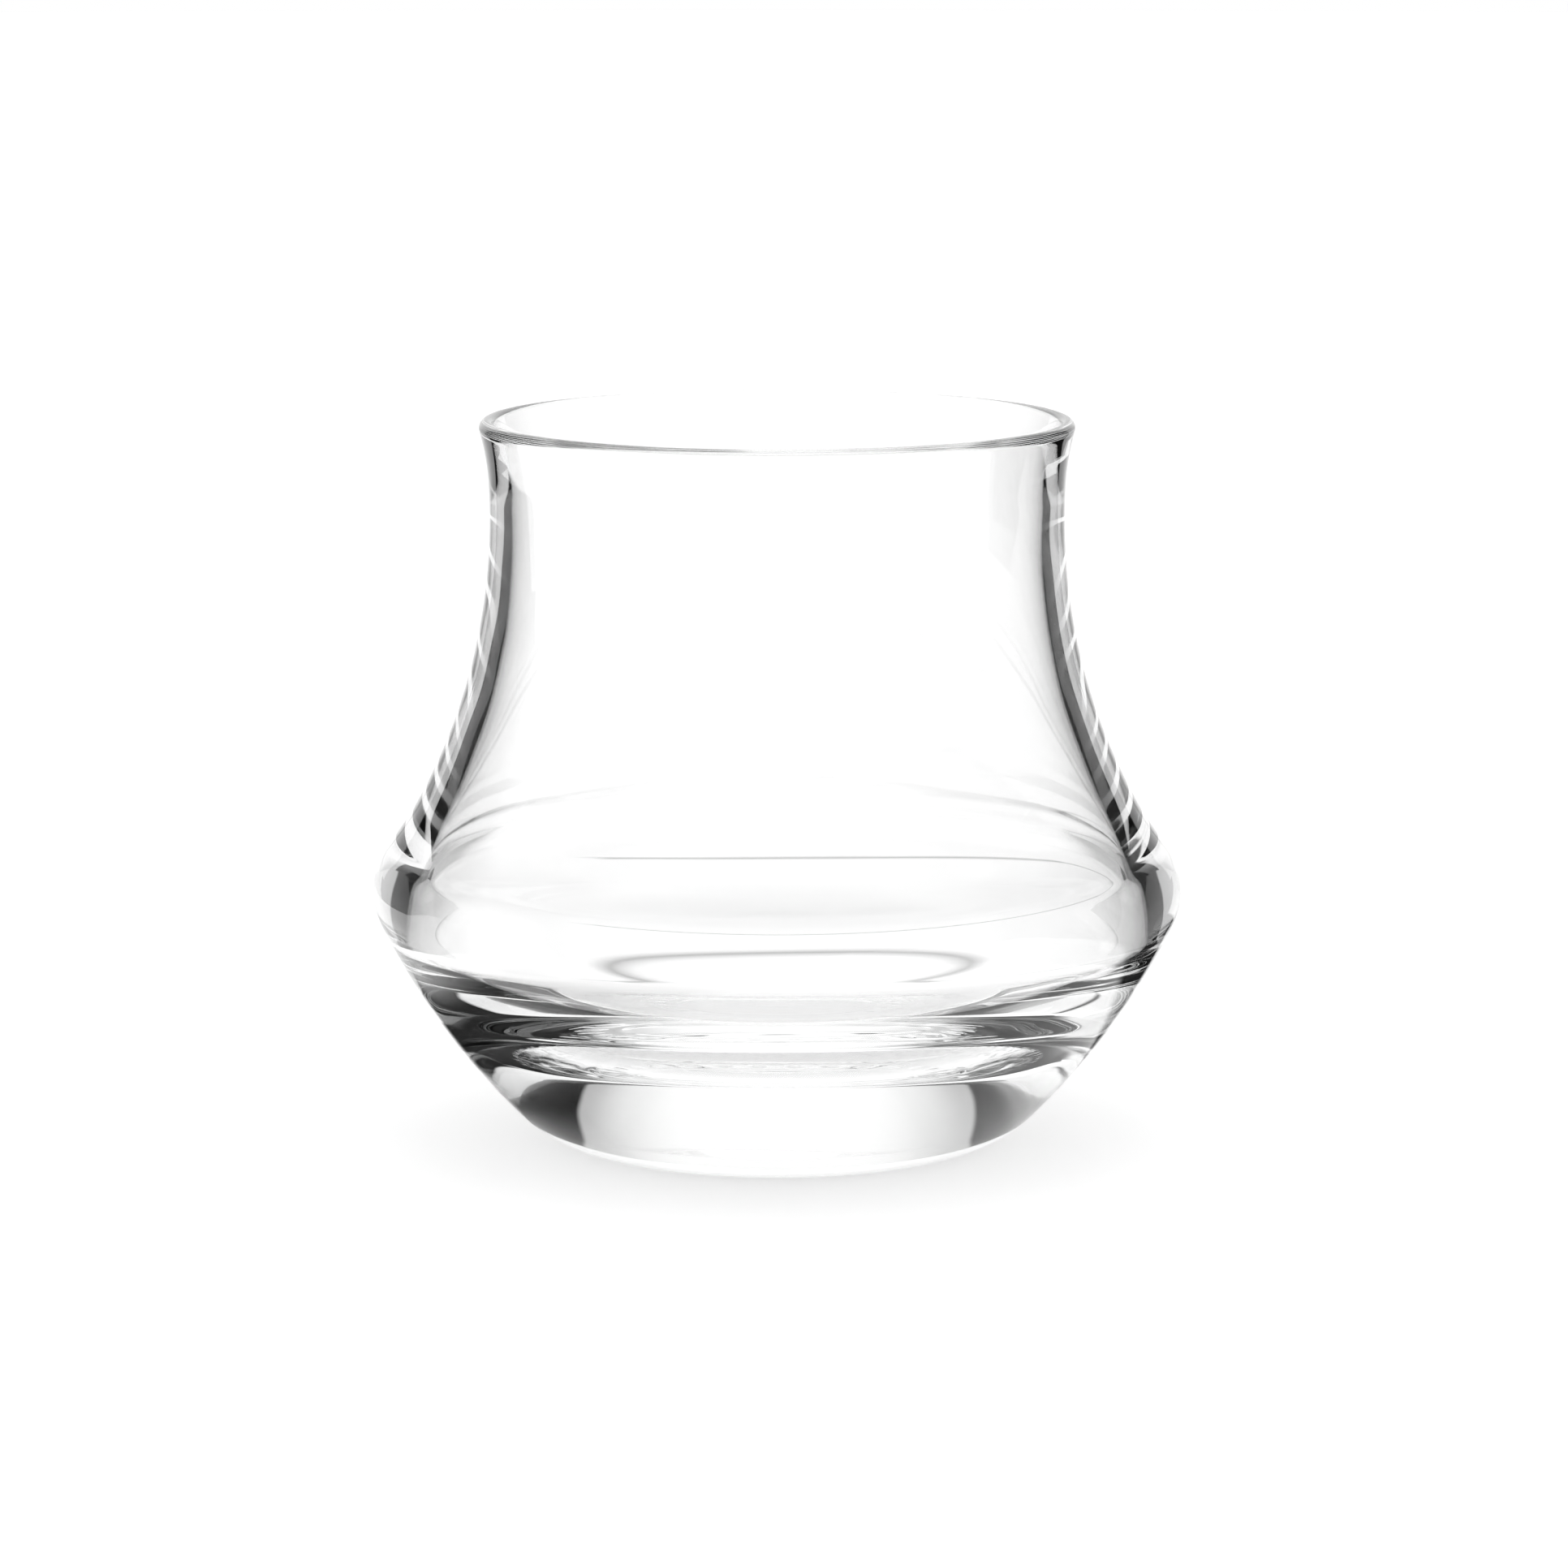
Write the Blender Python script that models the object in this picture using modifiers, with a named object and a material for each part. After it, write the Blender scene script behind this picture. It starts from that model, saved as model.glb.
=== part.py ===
"""Whisky tumbler: one turned body of clear glass.

The glass stands on a flat ring round a shallow recess. Its flank opens to a wide belly low down,
draws in to a narrow neck and flares a little to a rounded lip. The inside is a wide bowl over a
thick base. Lengths are in millimetres until the mesh is made, and the axis of the glass is Z.
"""

from math import asin, cos, degrees, radians, sin, sqrt
from typing import NamedTuple

import bpy

MILLIMETRE = 0.001

# Driving dimensions.
HEIGHT = 85.0
RING_RADIUS = 24.75
RING_WIDTH = 2.2
RECESS_DEPTH = 0.9
FLARE_RADIUS = 28.0
LIP_RADIUS = 0.95
SEGMENTS = 60

Point = tuple[float, float]


class Arc(NamedTuple):
    """An arc of the outline, which starts along the arc before it.

    A heading is the direction of travel in degrees: 0 is straight up, 90 is outwards and -180 is
    straight down.
    """

    radius: float
    heading: float
    steps: int


RING_HEADING = 90.0
FLOOR_HEADING = -90.0

# From the resting ring up to the narrowest part of the neck and just past it.
HEEL = Arc(0.8, 71.0, 2)
FOOT = Arc(15.0, 45.3, 4)
FLANK = Arc(80.0, 25.2, 4)
BELLY = Arc(7.8, -38.1, 8)
SHOULDER = Arc(41.0, -28.8, 2)
WAIST = Arc(69.7, 3.4, 6)
OUTSIDE = (HEEL, FOOT, FLANK, BELLY, SHOULDER, WAIST)

# From the lip down to the edge of the bowl's floor.
LIP_INSIDE_HEADING = -160.3
INSIDE_FLARE = Arc(30.3, -177.0, 3)
INSIDE_NECK = Arc(90.8, -180.0, 1)
INSIDE_WAIST = Arc(70.6, -202.2, 4)
INSIDE_SHOULDER = Arc(185.0, -206.7, 2)
INSIDE_BELLY = Arc(6.3, -148.0, 6)
BOWL_SIDE = Arc(17.5, -114.0, 4)
BOWL_EDGE = Arc(35.0, -93.2, 3)
INSIDE = (
    INSIDE_FLARE,
    INSIDE_NECK,
    INSIDE_WAIST,
    INSIDE_SHOULDER,
    INSIDE_BELLY,
    BOWL_SIDE,
    BOWL_EDGE,
)

LIP_STEPS = 7
FLARE_STEPS = 2
FLOOR_STEPS = 3
RECESS_STEPS = 4


class Outline:
    """A chain of tangent arcs in the half plane of radius and height."""

    def __init__(self, start: Point, heading: float) -> None:
        self.points = [start]
        self.heading = heading

    def follow(self, arc: Arc) -> None:
        """Add the points of one arc, which turns from the current heading to its own."""
        radius, height = self.points[-1]
        start = radians(self.heading)
        turn = radians(arc.heading) - start
        bend = arc.radius if turn > 0 else -arc.radius
        for step in range(1, arc.steps + 1):
            angle = start + turn * step / arc.steps
            across = radius + bend * (cos(start) - cos(angle))
            along = height + bend * (sin(angle) - sin(start))
            self.points.append((across, along))
        self.heading = arc.heading

    def rise_to_lip(self, height: float) -> None:
        """Flare outwards just far enough for the top of the lip to stand at the given height."""
        start = sin(radians(self.heading))
        climb = height - self.points[-1][1] - LIP_RADIUS + FLARE_RADIUS * start
        lean = degrees(asin(climb / (FLARE_RADIUS + LIP_RADIUS)))
        self.follow(Arc(FLARE_RADIUS, lean, FLARE_STEPS))

    def close_on_axis(self, heading: float, steps: int) -> None:
        """Curve from the last point to the axis, and arrive square to it."""
        radius = self.points[-1][0] / -cos(radians(self.heading))
        self.follow(Arc(radius, heading, steps))
        self.points[-1] = (0.0, self.points[-1][1])


def recess() -> list[Point]:
    """Return the shallow dome under the glass, from the axis to the inner edge of the ring."""
    edge = RING_RADIUS - RING_WIDTH
    sphere = (edge ** 2 + RECESS_DEPTH ** 2) / (2 * RECESS_DEPTH)
    points = []
    for step in range(RECESS_STEPS + 1):
        radius = edge * step / RECESS_STEPS
        points.append((radius, sqrt(sphere ** 2 - radius ** 2) - sphere + RECESS_DEPTH))
    points[-1] = (edge, 0.0)
    return points


def cross_section() -> list[Point]:
    """Return the outline from the floor of the bowl, over the lip and down to the recess."""
    outline = Outline((RING_RADIUS, 0.0), RING_HEADING)
    for arc in OUTSIDE:
        outline.follow(arc)
    outline.rise_to_lip(HEIGHT)
    outline.follow(Arc(LIP_RADIUS, LIP_INSIDE_HEADING, LIP_STEPS))
    for arc in INSIDE:
        outline.follow(arc)
    outline.close_on_axis(FLOOR_HEADING, FLOOR_STEPS)
    upwards = recess() + outline.points
    return upwards[::-1]


def clear_scene() -> None:
    """Remove the objects that the scene starts with."""
    for existing in list(bpy.data.objects):
        bpy.data.objects.remove(existing, do_unlink=True)


def clear_glass() -> bpy.types.Material:
    """Return the material of the body: clear, colourless and polished."""
    material = bpy.data.materials.new("clear_glass")
    material.use_nodes = True
    shader = material.node_tree.nodes["Principled BSDF"]
    shader.inputs["Base Color"].default_value = (0.97, 0.98, 0.98, 1.0)
    shader.inputs["Roughness"].default_value = 0.02
    shader.inputs["Metallic"].default_value = 0.0
    shader.inputs["IOR"].default_value = 1.51
    shader.inputs["Transmission Weight"].default_value = 1.0
    return material


def turned_body(name: str, section: list[Point], material: bpy.types.Material) -> bpy.types.Object:
    """Turn a cross-section about Z into one closed body."""
    vertices = [(radius * MILLIMETRE, 0.0, height * MILLIMETRE) for radius, height in section]
    edges = [(index, index + 1) for index in range(len(section) - 1)]
    mesh = bpy.data.meshes.new(name)
    mesh.from_pydata(vertices, edges, [])
    mesh.materials.append(material)
    body = bpy.data.objects.new(name, mesh)
    turn = body.modifiers.new("turn", "SCREW")
    turn.axis = "Z"
    turn.steps = SEGMENTS
    turn.render_steps = SEGMENTS
    turn.use_merge_vertices = True
    turn.merge_threshold = 0.00001
    turn.use_smooth_shade = True
    return body


def main() -> None:
    """Build the tumbler in a collection of its own."""
    clear_scene()
    collection = bpy.data.collections.new("whisky_tumbler")
    bpy.context.scene.collection.children.link(collection)
    collection.objects.link(turned_body("tumbler_glass", cross_section(), clear_glass()))


main()
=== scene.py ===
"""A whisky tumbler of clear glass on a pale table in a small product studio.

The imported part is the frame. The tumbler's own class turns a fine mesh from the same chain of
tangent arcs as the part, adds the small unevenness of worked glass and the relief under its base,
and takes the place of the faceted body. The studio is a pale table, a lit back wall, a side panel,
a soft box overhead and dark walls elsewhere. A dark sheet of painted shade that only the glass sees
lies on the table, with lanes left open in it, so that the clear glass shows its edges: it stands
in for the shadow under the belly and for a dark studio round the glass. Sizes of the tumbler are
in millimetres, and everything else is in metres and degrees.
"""

import logging
from dataclasses import dataclass
from enum import Enum
from math import asin, cos, degrees, pi, radians, sin, sqrt

import bmesh
import bpy
import numpy as np
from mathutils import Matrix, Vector


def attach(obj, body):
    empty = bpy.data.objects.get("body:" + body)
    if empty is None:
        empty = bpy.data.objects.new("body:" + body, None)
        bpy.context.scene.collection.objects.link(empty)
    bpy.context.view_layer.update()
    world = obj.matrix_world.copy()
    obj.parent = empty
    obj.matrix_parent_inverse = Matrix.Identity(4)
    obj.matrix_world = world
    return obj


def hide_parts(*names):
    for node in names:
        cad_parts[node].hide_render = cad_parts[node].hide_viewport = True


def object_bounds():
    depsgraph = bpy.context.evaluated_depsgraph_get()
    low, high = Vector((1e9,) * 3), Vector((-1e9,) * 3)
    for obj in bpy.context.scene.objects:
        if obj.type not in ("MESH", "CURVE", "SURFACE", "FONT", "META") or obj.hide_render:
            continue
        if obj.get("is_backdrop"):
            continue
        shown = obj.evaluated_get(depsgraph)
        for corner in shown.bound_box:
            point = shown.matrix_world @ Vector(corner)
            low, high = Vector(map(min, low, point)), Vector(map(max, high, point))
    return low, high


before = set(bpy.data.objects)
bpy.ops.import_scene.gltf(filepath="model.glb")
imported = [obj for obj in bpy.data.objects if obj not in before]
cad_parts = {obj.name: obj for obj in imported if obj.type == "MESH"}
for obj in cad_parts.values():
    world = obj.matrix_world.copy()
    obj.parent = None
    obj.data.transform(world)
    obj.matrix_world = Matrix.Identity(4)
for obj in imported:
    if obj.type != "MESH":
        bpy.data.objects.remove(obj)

LOG = logging.getLogger("tumbler_scene")
MILLIMETRE = 0.001
# How far the light on a lane takes to fall off, in metres for a lane that has no bright core.
FADE_REACH = 0.25
FULL_TURN = 2 * pi

Colour = tuple[float, float, float]
Point = tuple[float, float]


class Body(Enum):
    """The rigid bodies that pieces ride on."""

    ROOT = "root"


class Slot(Enum):
    """The record's material slots."""

    GLASS = "clear_glass"


class Seen(Enum):
    """Which rays see a stage piece."""

    BY_ALL = "all"
    THROUGH_GLASS = "through_glass"


class Wire:
    """One socket of a node tree, with the arithmetic that shaders here use."""

    def __init__(self, tree: "Tree", socket: bpy.types.NodeSocket) -> None:
        """Wrap an output socket of a tree.

        Args:
            tree: The tree that the socket is in.
            socket: The output socket.
        """
        self.tree = tree
        self.socket = socket

    def _math(self, operation: str, *values: "Wire | float") -> "Wire":
        """Add one Math node.

        Args:
            operation: The node's operation.
            values: What its inputs take, in order.

        Returns:
            The result.
        """
        settings = {"operation": operation}
        return self.tree.node("ShaderNodeMath", settings, dict(enumerate(values)))

    def __add__(self, other: "Wire | float") -> "Wire":
        """Return the sum."""
        return self._math("ADD", self, other)

    __radd__ = __add__

    def __sub__(self, other: "Wire | float") -> "Wire":
        """Return the difference."""
        return self._math("SUBTRACT", self, other)

    def __rsub__(self, other: float) -> "Wire":
        """Return the difference from a number."""
        return self._math("SUBTRACT", other, self)

    def __mul__(self, other: "Wire | float") -> "Wire":
        """Return the product."""
        return self._math("MULTIPLY", self, other)

    __rmul__ = __mul__

    def __abs__(self) -> "Wire":
        """Return the size without its sign."""
        return self._math("ABSOLUTE", self)

    def largest(self, other: "Wire | float") -> "Wire":
        """Return the larger of the two."""
        return self._math("MAXIMUM", self, other)

    def angle_to(self, other: "Wire") -> "Wire":
        """Return the angle in degrees whose tangent is this over the other."""
        return self._math("DEGREES", self._math("ARCTAN2", self, other))

    def arcsine(self) -> "Wire":
        """Return the angle in degrees whose sine this is."""
        return self._math("DEGREES", self._math("ARCSINE", self))

    def rises(self, low: float, high: float) -> "Wire":
        """Make a smooth step.

        Args:
            low: Where the rise starts.
            high: Where it ends.

        Returns:
            0 below low, 1 above high and a smooth rise between them.
        """
        settings = {"interpolation_type": "SMOOTHSTEP"}
        values = {"Value": self, "From Min": low, "From Max": high}
        return self.tree.node("ShaderNodeMapRange", settings, values)

    def within(self, low: float, high: float, soft: float) -> "Wire":
        """Pick out a stretch.

        Args:
            low: Where the stretch starts.
            high: Where it ends.
            soft: How far its edges fade to each side.

        Returns:
            1 inside the stretch and 0 outside it.
        """
        return self.rises(low - soft, low + soft) * (1 - self.rises(high - soft, high + soft))


class Tree:
    """A node tree that is filled from Python expressions."""

    def __init__(self, tree: bpy.types.NodeTree) -> None:
        """Empty a tree and keep it.

        Args:
            tree: The tree to fill.
        """
        self.tree = tree
        tree.nodes.clear()

    def node(
        self,
        kind: str,
        settings: dict[str, object] | None = None,
        values: dict[str | int, object] | None = None,
        output: str | int = 0,
    ) -> Wire:
        """Add a node.

        Args:
            kind: The node's type.
            settings: Its own properties, set before its sockets.
            values: What each input takes: a number, a colour or a wire.
            output: Which output to return.

        Returns:
            The wire that comes out of the node.
        """
        return Wire(self, self._add(kind, settings, values).outputs[output])

    def end(self, kind: str, values: dict[str | int, object]) -> None:
        """Add the output node that the tree ends with.

        Args:
            kind: The node's type.
            values: What each input takes.
        """
        self._add(kind, None, values)

    def _add(
        self,
        kind: str,
        settings: dict[str, object] | None,
        values: dict[str | int, object] | None,
    ) -> bpy.types.Node:
        """Add a node, its settings first.

        Args:
            kind: The node's type.
            settings: Its own properties.
            values: What each input takes.

        Returns:
            The node.
        """
        made = self.tree.nodes.new(kind)
        for name, setting in (settings or {}).items():
            setattr(made, name, setting)
        for name, value in (values or {}).items():
            if isinstance(value, Wire):
                self.tree.links.new(value.socket, made.inputs[name])
            else:
                made.inputs[name].default_value = value
        return made

    def parts(self, vector: Wire) -> tuple[Wire, Wire, Wire]:
        """Split a vector.

        Args:
            vector: The vector.

        Returns:
            Its X, Y and Z.
        """
        first = self.node("ShaderNodeSeparateXYZ", values={"Vector": vector})
        outputs = first.socket.node.outputs
        return tuple(Wire(self, outputs[axis]) for axis in ("X", "Y", "Z"))


def around(middle: float, reach: float) -> tuple[float, float]:
    """Return the two ends of a stretch about its middle."""
    return middle - reach, middle + reach


def opaque(colour: Colour) -> tuple[float, float, float, float]:
    """Return a colour with full alpha."""
    return (*colour, 1.0)


def new_material(name: str) -> tuple[bpy.types.Material, Tree]:
    """Make an empty material.

    Args:
        name: The material's name.

    Returns:
        The material and its tree.
    """
    material = bpy.data.materials.new(name)
    material.use_nodes = True
    return material, Tree(material.node_tree)


@dataclass(frozen=True)
class ClearGlass:
    """Polished soda-lime glass, all but colourless, with scuffs where it stands."""

    bends: float = 1.51
    tint: Colour = (1.0, 1.0, 1.0)
    depth_tint: Colour = (0.93, 0.965, 0.95)
    depth_density: float = 1.2
    scuff: float = 0.3
    scuff_height: float = 0.0004
    scuff_grain: float = 900.0
    film: float = 0.012
    film_grain: float = 70.0
    grain_detail: float = 3.0
    scuff_cut: tuple[float, float] = (0.42, 0.62)
    film_cut: tuple[float, float] = (0.5, 0.8)

    def _grain(self, tree: Tree, place: Wire, scale: float) -> Wire:
        """Make noise at one scale.

        Args:
            tree: The tree to add it to.
            place: Where each point of the surface is.
            scale: How fine the noise is.

        Returns:
            The noise, from 0 to 1.
        """
        settings = {"noise_dimensions": "3D"}
        values = {"Vector": place, "Scale": scale, "Detail": self.grain_detail}
        return tree.node("ShaderNodeTexNoise", settings, values)

    def _roughness(self, tree: Tree) -> Wire:
        """Work out the polish: scuffed on the resting ring and very slightly uneven elsewhere.

        Args:
            tree: The tree to add it to.

        Returns:
            The roughness.
        """
        place = tree.node("ShaderNodeTexCoord", output="Object")
        _, _, height = tree.parts(place)
        foot = 1 - height.rises(0.0, self.scuff_height)
        scuffs = self._grain(tree, place, self.scuff_grain).rises(*self.scuff_cut)
        film = self._grain(tree, place, self.film_grain).rises(*self.film_cut)
        return foot * scuffs * self.scuff + film * self.film

    def make(self) -> bpy.types.Material:
        """Make the material.

        Returns:
            The material.
        """
        material, tree = new_material("clear_glass")
        surface = tree.node(
            "ShaderNodeBsdfPrincipled",
            values={
                "Base Color": opaque(self.tint),
                "Roughness": self._roughness(tree),
                "IOR": self.bends,
                "Transmission Weight": 1.0,
            },
        )
        depth = tree.node(
            "ShaderNodeVolumeAbsorption",
            values={"Color": opaque(self.depth_tint), "Density": self.depth_density},
        )
        tree.end("ShaderNodeOutputMaterial", {"Surface": surface, "Volume": depth})
        return material


@dataclass(frozen=True)
class TableTop:
    """The pale, nearly matt top of the studio table."""

    colour: Colour = (0.7, 0.7, 0.7)
    roughness: float = 0.7
    glow: float = 0.45

    def make(self) -> bpy.types.Material:
        """Make the material.

        Returns:
            The material.
        """
        material, tree = new_material("pale_table")
        surface = tree.node(
            "ShaderNodeBsdfPrincipled",
            values={
                "Base Color": opaque(self.colour),
                "Roughness": self.roughness,
                "Specular IOR Level": 0.0,
                "Emission Color": opaque((1.0, 1.0, 1.0)),
                "Emission Strength": self.glow,
            },
        )
        tree.end("ShaderNodeOutputMaterial", {"Surface": surface})
        return material


@dataclass(frozen=True)
class Lane:
    """A lane left open in the dark sheet of painted shade, where the lit table shows, which widens
    away from the glass.

    Its direction is in degrees from +Y towards +X. Its start, end and half width are in metres, and
    the half width grows by the spread for each metre. Fall is how much light its sides lose, and
    core is how much of its width keeps all the light.
    """

    direction: float
    start: float
    end: float
    half_width: float
    spread: float
    fall: float = 0.0
    core: float = 0.4


@dataclass(frozen=True)
class PaintedShadeSheet:
    """Dark sheet of painted shade round the foot, standing in for the shadow under the belly and a
    dark studio, open under the glass and along the lanes that let light in.
    """

    glow: float = 0.02
    soft: float = 0.005
    foot_radius: float = 0.031
    lanes: tuple[Lane, ...] = (
        Lane(0.0, 0.0, 0.1, 0.032, 0.45, 0.2),
        Lane(0.0, 0.1, 9.0, 0.066, 0.475, 0.42),
        Lane(-45.0, 0.075, 0.24, 0.04, 0.15),
        Lane(-90.0, 0.06, 9.0, 0.03, 0.4),
        Lane(135.0, 0.0, 1.2, 0.04, 0.45),
    )

    def _open_along(self, lane: Lane, x: Wire, y: Wire) -> Wire:
        """Pick out a lane.

        Args:
            lane: The lane.
            x: Where each point of the cloth is along X.
            y: Where it is along Y.

        Returns:
            Up to 1 on the lane and 0 off it.
        """
        turn = radians(lane.direction)
        out = x * sin(turn) + y * cos(turn)
        beside = abs(x * cos(turn) - y * sin(turn))
        side = out * lane.spread + lane.half_width
        ahead = out.within(lane.start, lane.end, self.soft)
        past_core = beside - side * lane.core
        # The sides of a lane fade back into the painted shade.
        fade = 1 - lane.fall * past_core.rises(0.0, (1 - lane.core) * FADE_REACH)
        return ahead * fade * (1 - (beside - side).rises(-self.soft, self.soft))

    def make(self) -> bpy.types.Material:
        """Make the material.

        Returns:
            The material.
        """
        material, tree = new_material("painted_shade_sheet")
        place = tree.node("ShaderNodeTexCoord", output="Object")
        x, y, _ = tree.parts(place)
        radius = tree.node("ShaderNodeVectorMath", {"operation": "LENGTH"}, {0: place}, "Value")
        cleared = 1 - radius.rises(*around(self.foot_radius, self.soft))
        for lane in self.lanes:
            cleared = cleared.largest(self._open_along(lane, x, y))
        clear = tree.node("ShaderNodeBsdfTransparent")
        # The dark of the sheet of painted shade: a faint, even glow.
        shade_sheet = tree.node("ShaderNodeEmission", values={"Strength": self.glow})
        mixed = tree.node("ShaderNodeMixShader", values={0: cleared, 1: shade_sheet, 2: clear})
        tree.end("ShaderNodeOutputMaterial", {"Surface": mixed})
        return material


@dataclass(frozen=True)
class Arc:
    """An arc of an outline, which starts along the arc before it.

    A heading is the direction of travel in degrees: 0 is straight up, 90 is outwards and -180 is
    straight down. Steps are per arc.
    """

    radius: float
    heading: float
    steps: int


class Outline:
    """A chain of tangent arcs in the half plane of radius and height, in millimetres."""

    def __init__(self, start: Point, heading: float) -> None:
        """Start the chain.

        Args:
            start: Its first point.
            heading: Its first direction of travel, in degrees.
        """
        self.points = [start]
        self.heading = heading

    def follow(self, arc: Arc) -> None:
        """Add the points of one arc, which turns from the current heading to its own.

        Args:
            arc: The arc.
        """
        radius, height = self.points[-1]
        start = radians(self.heading)
        turn = radians(arc.heading) - start
        bend = arc.radius if turn > 0 else -arc.radius
        for step in range(1, arc.steps + 1):
            angle = start + turn * step / arc.steps
            across = radius + bend * (cos(start) - cos(angle))
            along = height + bend * (sin(angle) - sin(start))
            self.points.append((across, along))
        self.heading = arc.heading


@dataclass(frozen=True)
class Ripples:
    """Shallow waves that hot glass keeps, as sums of sine waves. Lengths are in millimetres."""

    seed: int = 11
    count: int = 7
    depth: float = 0.012
    shortest: float = 9.0
    longest: float = 34.0
    most_round: int = 5

    def over(self, distance: np.ndarray, angle: np.ndarray) -> np.ndarray:
        """Return the height of the waves.

        Args:
            distance: How far along the outline each ring lies.
            angle: The angle of each step round the axis.

        Returns:
            One row for each ring and one column for each step.
        """
        chance = np.random.default_rng(self.seed)
        total = np.zeros((len(distance), len(angle)))
        for _ in range(self.count):
            wave = chance.uniform(self.shortest, self.longest)
            turns = int(chance.integers(0, self.most_round + 1))
            phase = chance.uniform(0.0, FULL_TURN)
            along = FULL_TURN * distance[:, None] / wave
            total += np.sin(along + turns * angle[None, :] + phase)
        return total * self.depth / sqrt(self.count)


@dataclass(frozen=True)
class BaseRelief:
    """Raised rings, a ring of dots and a middle pip under the base. Lengths are in millimetres."""

    rings: tuple[float, ...] = (12.6, 17.4)
    ring_width: float = 0.5
    ring_height: float = 0.1
    dots: int = 24
    dots_radius: float = 15.0
    dot_width: float = 0.8
    dot_height: float = 0.16
    pip_width: float = 3.2
    pip_height: float = 0.06

    def over(self, radius: np.ndarray, angle: np.ndarray) -> np.ndarray:
        """Return how far the relief stands down from the recess.

        Args:
            radius: The radius of each ring.
            angle: The angle of each step round the axis.

        Returns:
            One row for each ring and one column for each step.
        """
        across = radius[:, None]
        total = self.pip_height * np.exp(-((across / self.pip_width) ** 4)) + 0 * angle[None, :]
        for ring in self.rings:
            total += self.ring_height * np.exp(-(((across - ring) / self.ring_width) ** 2))
        pitch = FULL_TURN / self.dots
        beside = (np.mod(angle, pitch) - pitch / 2)[None, :] * self.dots_radius
        apart = (across - self.dots_radius) ** 2 + beside ** 2
        return total + self.dot_height * np.exp(-apart / self.dot_width ** 2)


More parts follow.
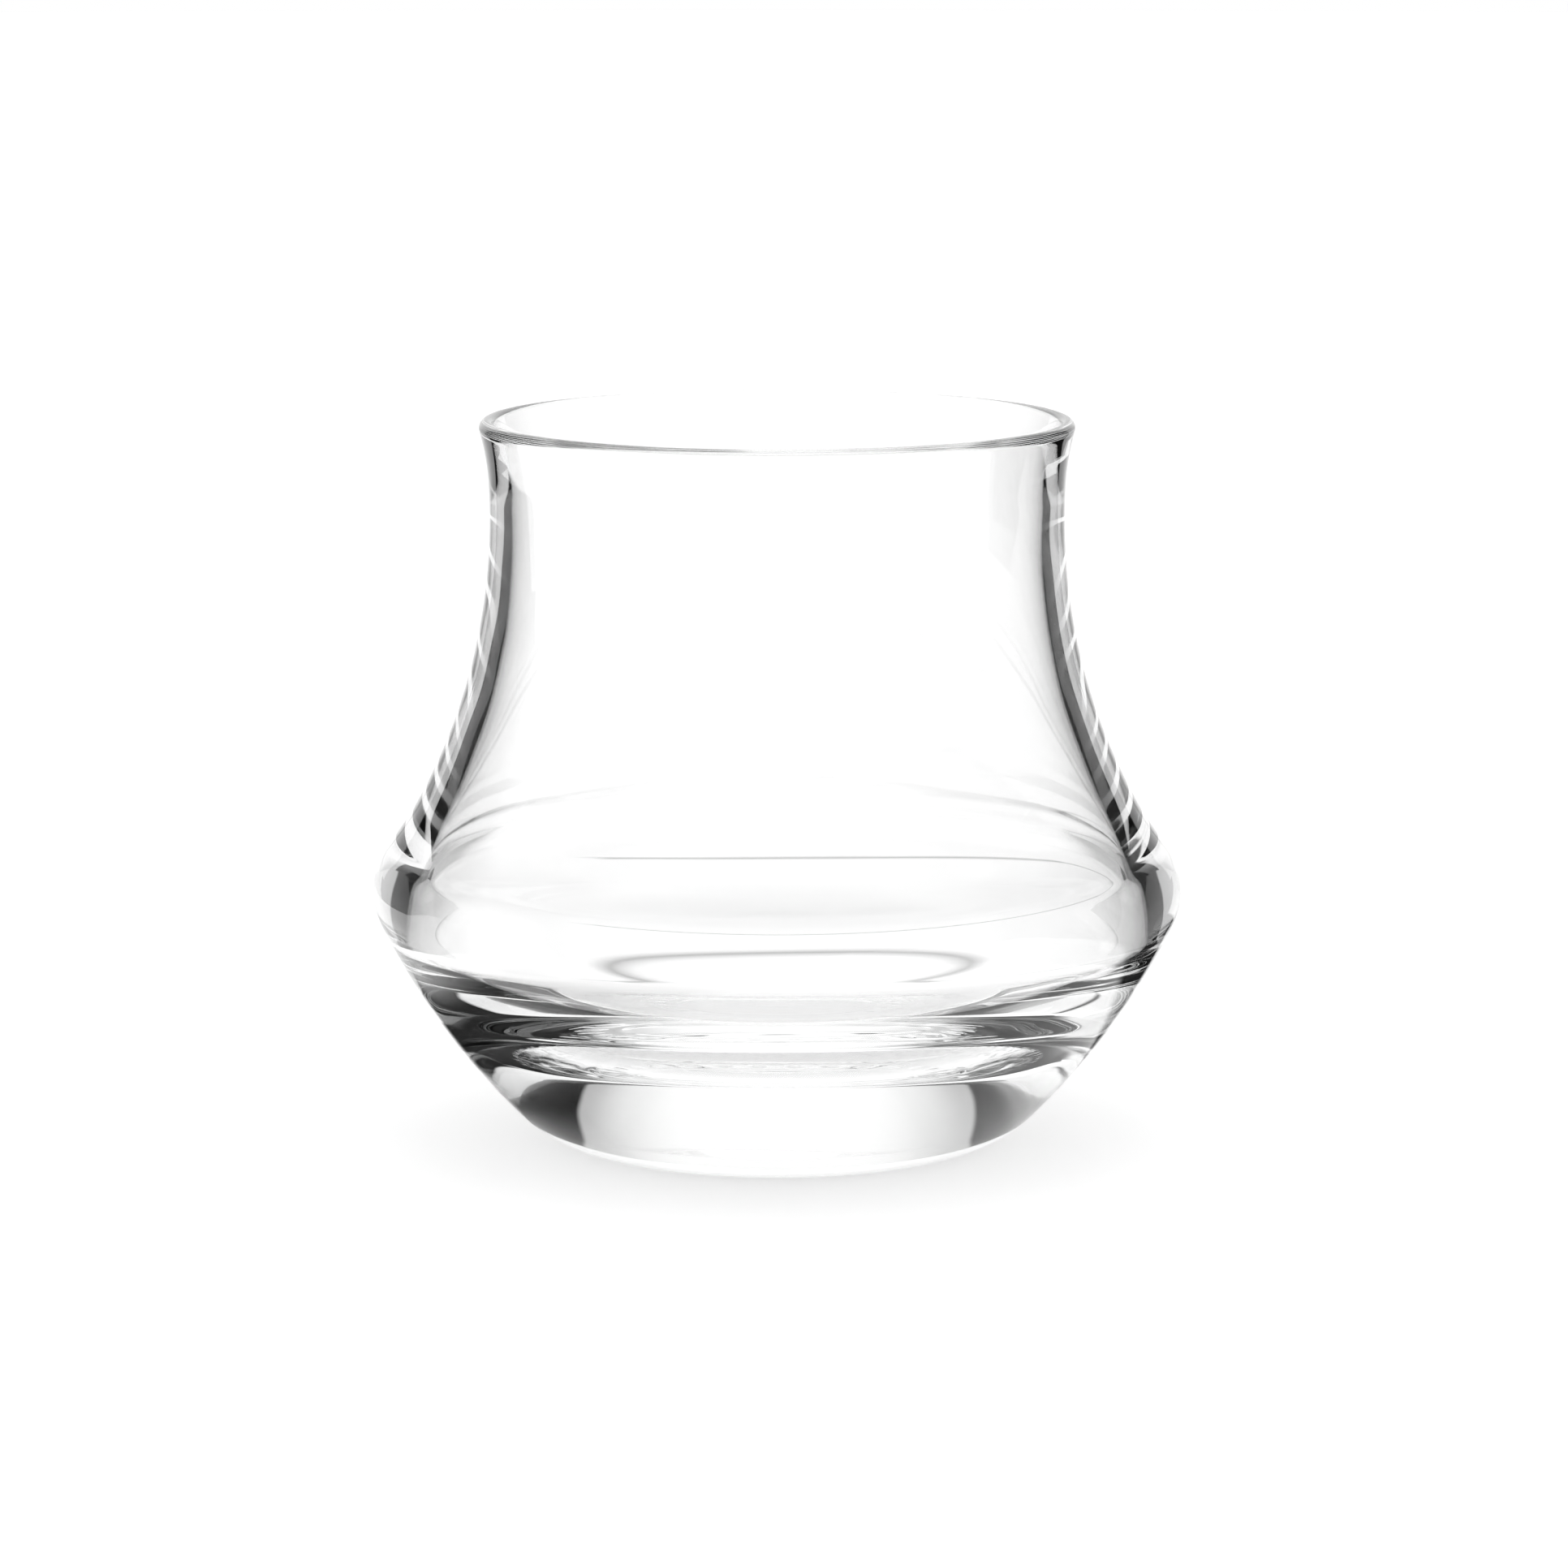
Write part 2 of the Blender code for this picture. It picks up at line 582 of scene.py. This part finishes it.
@dataclass
class Tumbler:
    """The glass body: foot, flank, belly, neck, lip and bowl in one piece of glass."""

    height: float = 85.0
    ring_radius: float = 24.75
    ring_width: float = 2.2
    recess_depth: float = 0.9
    flare_radius: float = 28.0
    lip_radius: float = 0.95
    lip_inside_heading: float = -160.3
    ring_heading: float = 90.0
    floor_heading: float = -90.0
    segments: int = 288
    outside: tuple[Arc, ...] = (
        Arc(0.8, 71.0, 6),
        Arc(15.0, 45.3, 12),
        Arc(80.0, 25.2, 22),
        Arc(7.8, -38.1, 28),
        Arc(41.0, -28.8, 8),
        Arc(69.7, 3.4, 28),
    )
    inside: tuple[Arc, ...] = (
        Arc(30.3, -177.0, 12),
        Arc(90.8, -180.0, 4),
        Arc(70.6, -202.2, 24),
        Arc(185.0, -206.7, 12),
        Arc(6.3, -148.0, 20),
        Arc(17.5, -114.0, 14),
        Arc(35.0, -93.2, 14),
    )
    flare_steps: int = 10
    lip_steps: int = 24
    floor_steps: int = 30
    recess_steps: int = 64
    still_foot: float = 3.0
    still_middle: float = 6.0
    glass: ClearGlass = ClearGlass()
    ripples: Ripples = Ripples()
    relief: BaseRelief = BaseRelief()

    def _recess(self) -> list[Point]:
        """Draw the shallow dome under the glass.

        Returns:
            Its points, from the axis to the inner edge of the ring.
        """
        edge = self.ring_radius - self.ring_width
        sphere = (edge ** 2 + self.recess_depth ** 2) / (2 * self.recess_depth)
        points = []
        for step in range(self.recess_steps + 1):
            radius = edge * step / self.recess_steps
            points.append((radius, sqrt(sphere ** 2 - radius ** 2) - sphere + self.recess_depth))
        points[-1] = (edge, 0.0)
        return points

    def cross_section(self) -> list[Point]:
        """Draw the outline, which starts outwards from the resting ring.

        Returns:
            Its points, from the middle of the bowl's floor to the middle of the recess.
        """
        outline = Outline((self.ring_radius, 0.0), self.ring_heading)
        for arc in self.outside:
            outline.follow(arc)
        start = sin(radians(outline.heading))
        climb = self.height - outline.points[-1][1] - self.lip_radius + self.flare_radius * start
        lean = degrees(asin(climb / (self.flare_radius + self.lip_radius)))
        outline.follow(Arc(self.flare_radius, lean, self.flare_steps))
        outline.follow(Arc(self.lip_radius, self.lip_inside_heading, self.lip_steps))
        for arc in self.inside:
            outline.follow(arc)
        floor = outline.points[-1][0] / -cos(radians(outline.heading))
        outline.follow(Arc(floor, self.floor_heading, self.floor_steps))
        outline.points[-1] = (0.0, outline.points[-1][1])
        return (self._recess() + outline.points)[::-1]

    def _turned_points(self, section: np.ndarray, angle: np.ndarray) -> np.ndarray:
        """Turn the outline about Z, with its ripples and the relief under the base.

        Args:
            section: The outline, one radius and height a row.
            angle: The angle of each step round the axis.

        Returns:
            The points of every ring of the outline but its two ends, in millimetres.
        """
        step = np.gradient(section, axis=0)
        step /= np.linalg.norm(step, axis=1)[:, None]
        distance = np.cumsum(np.linalg.norm(np.diff(section, axis=0, prepend=section[:1]), axis=1))
        radius, height = section[:, 0], section[:, 1]
        still = np.minimum(np.abs(height) / self.still_foot, radius / self.still_middle)
        waves = self.ripples.over(distance, angle) * np.clip(still, 0.0, 1.0)[:, None]
        wide = radius[:, None] + waves * step[:, 1:]
        up = height[:, None] - waves * step[:, :1]
        under = np.arange(len(section)) >= len(section) - self.recess_steps
        up[under] -= self.relief.over(radius[under], angle)
        points = np.stack([wide * np.cos(angle), wide * np.sin(angle), up], axis=-1)
        return points[1:-1].reshape(-1, 3)

    def _turned_mesh(self, name: str) -> bpy.types.Mesh:
        """Turn the cross-section about Z into one closed mesh of quads with a fan at each pole.

        Args:
            name: The mesh's name.

        Returns:
            The mesh.
        """
        section = np.array(self.cross_section())
        angle = np.linspace(0.0, FULL_TURN, self.segments, endpoint=False)
        points = self._turned_points(section, angle) * MILLIMETRE
        bowl_floor, recess_top = section[0, 1], section[-1, 1] - self.relief.pip_height
        poles = np.array([[0.0, 0.0, bowl_floor], [0.0, 0.0, recess_top]]) * MILLIMETRE
        vertices = np.concatenate([points, poles])
        count, last = self.segments, len(section) - 3
        faces = []
        for ring in range(last):
            for step in range(count):
                here, after = ring * count + step, ring * count + (step + 1) % count
                faces.append((here, here + count, after + count, after))
        first_pole, last_pole = len(points), len(points) + 1
        for step in range(count):
            after = (step + 1) % count
            faces.append((first_pole, step, after))
            faces.append((last_pole, last * count + after, last * count + step))
        mesh = bpy.data.meshes.new(name)
        mesh.from_pydata(vertices.tolist(), [], faces)
        mesh.shade_smooth()
        return mesh

    def build(self) -> bpy.types.Object:
        """Make the fine body and let it stand for the faceted one.

        Returns:
            The body.
        """
        mesh = self._turned_mesh("tumbler_body")
        body = bpy.data.objects.new("tumbler_body", mesh)
        bpy.context.scene.collection.objects.link(body)
        self.dress(body)
        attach(body, Body.ROOT.value)
        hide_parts("tumbler_glass")
        return body

    def dress(self, body: bpy.types.Object) -> None:
        """Give the body its glass."""
        body.data.materials.append(self.glass.make())


@dataclass
class Studio:
    """The table, the walls and the light."""

    table_size: float = 3.0
    table_gap: float = 0.0002
    # The sheet of painted shade that only the glass sees: its size and how high it lies.
    shade_sheet_radius: float = 2.99
    shade_sheet_gap: float = 0.0001
    back_core: float = 10.0
    back_half_width: float = 28.5
    back_fall: float = 0.42
    back_soft: float = 0.8
    panel_half_width: float = 17.0
    panel_soft: float = 8.0
    panel_top: float = 24.0
    panel_light: float = 1.0
    roof_start: float = 49.0
    roof_soft: float = 5.0
    roof_light: float = 1.15
    wall_light: float = 0.02
    fill: float = 1.05
    bounces: int = 24
    disc_sides: int = 96

    def _disc(self, name: str, radius: float, height: float) -> bpy.types.Object:
        """Make a flat round stage piece.

        Args:
            name: Its name.
            radius: Its radius.
            height: How high it lies.

        Returns:
            The piece.
        """
        mesh = bpy.data.meshes.new(name)
        shape = bmesh.new()
        sides = self.disc_sides
        bmesh.ops.create_circle(shape, cap_ends=True, segments=sides, radius=radius)
        shape.to_mesh(mesh)
        shape.free()
        disc = bpy.data.objects.new(name, mesh)
        disc.location.z = height
        bpy.context.scene.collection.objects.link(disc)
        disc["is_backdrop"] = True
        return disc

    def _show(self, piece: bpy.types.Object, seen: Seen) -> None:
        """Choose which rays see a stage piece.

        Args:
            piece: The piece.
            seen: Which rays see it.
        """
        alone = seen is Seen.THROUGH_GLASS
        piece.visible_camera = not alone
        piece.visible_diffuse = not alone
        piece.visible_shadow = not alone

    def table(self) -> bpy.types.Object:
        """Make the pale table.

        Returns:
            The table.
        """
        table = self._disc("pale_table", self.table_size, -self.table_gap)
        table.data.materials.append(TableTop().make())
        self._show(table, Seen.BY_ALL)
        return table

    def lay_painted_shade(self) -> bpy.types.Object:
        """Lay the dark sheet of painted shade that only the glass sees.

        Returns:
            The cloth.
        """
        shade_sheet = self._disc("painted_shade_sheet", self.shade_sheet_radius, -self.shade_sheet_gap)
        shade_sheet.data.materials.append(PaintedShadeSheet().make())
        self._show(shade_sheet, Seen.THROUGH_GLASS)
        return shade_sheet

    def surroundings(self) -> bpy.types.World:
        """Make the lit back wall, the side panel, the dark walls and the soft box overhead.

        Returns:
            The world.
        """
        world = bpy.data.worlds.new("studio")
        bpy.context.scene.world = world
        world.use_nodes = True
        tree = Tree(world.node_tree)
        across, along, up = tree.parts(tree.node("ShaderNodeTexCoord", output="Generated"))
        turn = abs(across).angle_to(along)
        rise = up.arcsine()
        fall = 1 - self.back_fall * turn.rises(self.back_core, self.back_half_width)
        back = fall * (1 - turn.rises(*around(self.back_half_width, self.back_soft)))
        panel = abs(along).angle_to(0 - across)
        panel = 1 - panel.rises(*around(self.panel_half_width, self.panel_soft))
        below = 1 - rise.rises(*around(self.panel_top, self.panel_soft))
        panel = self.panel_light * panel * below
        roof = self.roof_light * rise.rises(*around(self.roof_start, self.roof_soft))
        room = self.wall_light + back.largest(panel).largest(roof)
        path = tree.node("ShaderNodeLightPath", output="Is Camera Ray")
        bounced = Wire(tree, path.socket.node.outputs["Diffuse Depth"]).rises(0.4, 0.6)
        lit = bounced * self.fill + (1 - bounced) * room
        shown = path + (1 - path) * lit
        values = {"Color": opaque((1.0, 1.0, 1.0)), "Strength": shown}
        sky = tree.node("ShaderNodeBackground", values=values)
        tree.end("ShaderNodeOutputWorld", {"Surface": sky})
        return world

    def build(self) -> list[bpy.types.Object]:
        """Make the whole studio, and let light bounce on along the wall of the glass.

        Returns:
            The stage pieces.
        """
        self.surroundings()
        scene = bpy.context.scene
        scene.view_settings.view_transform = "Standard"
        scene.cycles.max_bounces = self.bounces
        scene.cycles.transmission_bounces = self.bounces
        scene.cycles.glossy_bounces = self.bounces
        return [self.table(), self.lay_painted_shade()]


@dataclass
class Viewpoint:
    """A long lens a little above the rim, aimed at the middle of the glass."""

    distance: float = 0.7947
    eye_height: float = 0.1673
    lens: float = 157.25
    shift_right: float = 0.0044
    shift_down: float = 0.0034

    def build(self) -> bpy.types.Object:
        """Make the camera and use it.

        Returns:
            The camera.
        """
        low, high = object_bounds()
        middle = Vector(((low.x + high.x) / 2, (low.y + high.y) / 2, (low.z + high.z) / 2))
        data = bpy.data.cameras.new("studio_camera")
        data.sensor_width = 36.0
        data.lens = self.lens
        data.shift_x = self.shift_right
        data.shift_y = -self.shift_down
        data.dof.use_dof = False
        data.clip_start = 0.01
        data.clip_end = 20.0
        camera = bpy.data.objects.new("studio_camera", data)
        camera.location = (0.0, -self.distance, self.eye_height)
        aim = middle - camera.location
        camera.rotation_euler = aim.to_track_quat("-Z", "Y").to_euler()
        bpy.context.scene.collection.objects.link(camera)
        bpy.context.scene.camera = camera
        return camera


def main() -> None:
    """Build the tumbler and the studio round it."""
    logging.basicConfig(level=logging.INFO, format="%(message)s")
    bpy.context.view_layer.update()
    body = Tumbler().build()
    LOG.info("%s: %d faces", body.name, len(body.data.polygons))
    for piece in Studio().build():
        LOG.info("stage: %s", piece.name)
    camera = Viewpoint().build()
    LOG.info("camera: %s", camera.name)


if __name__ == "__main__":
    main()
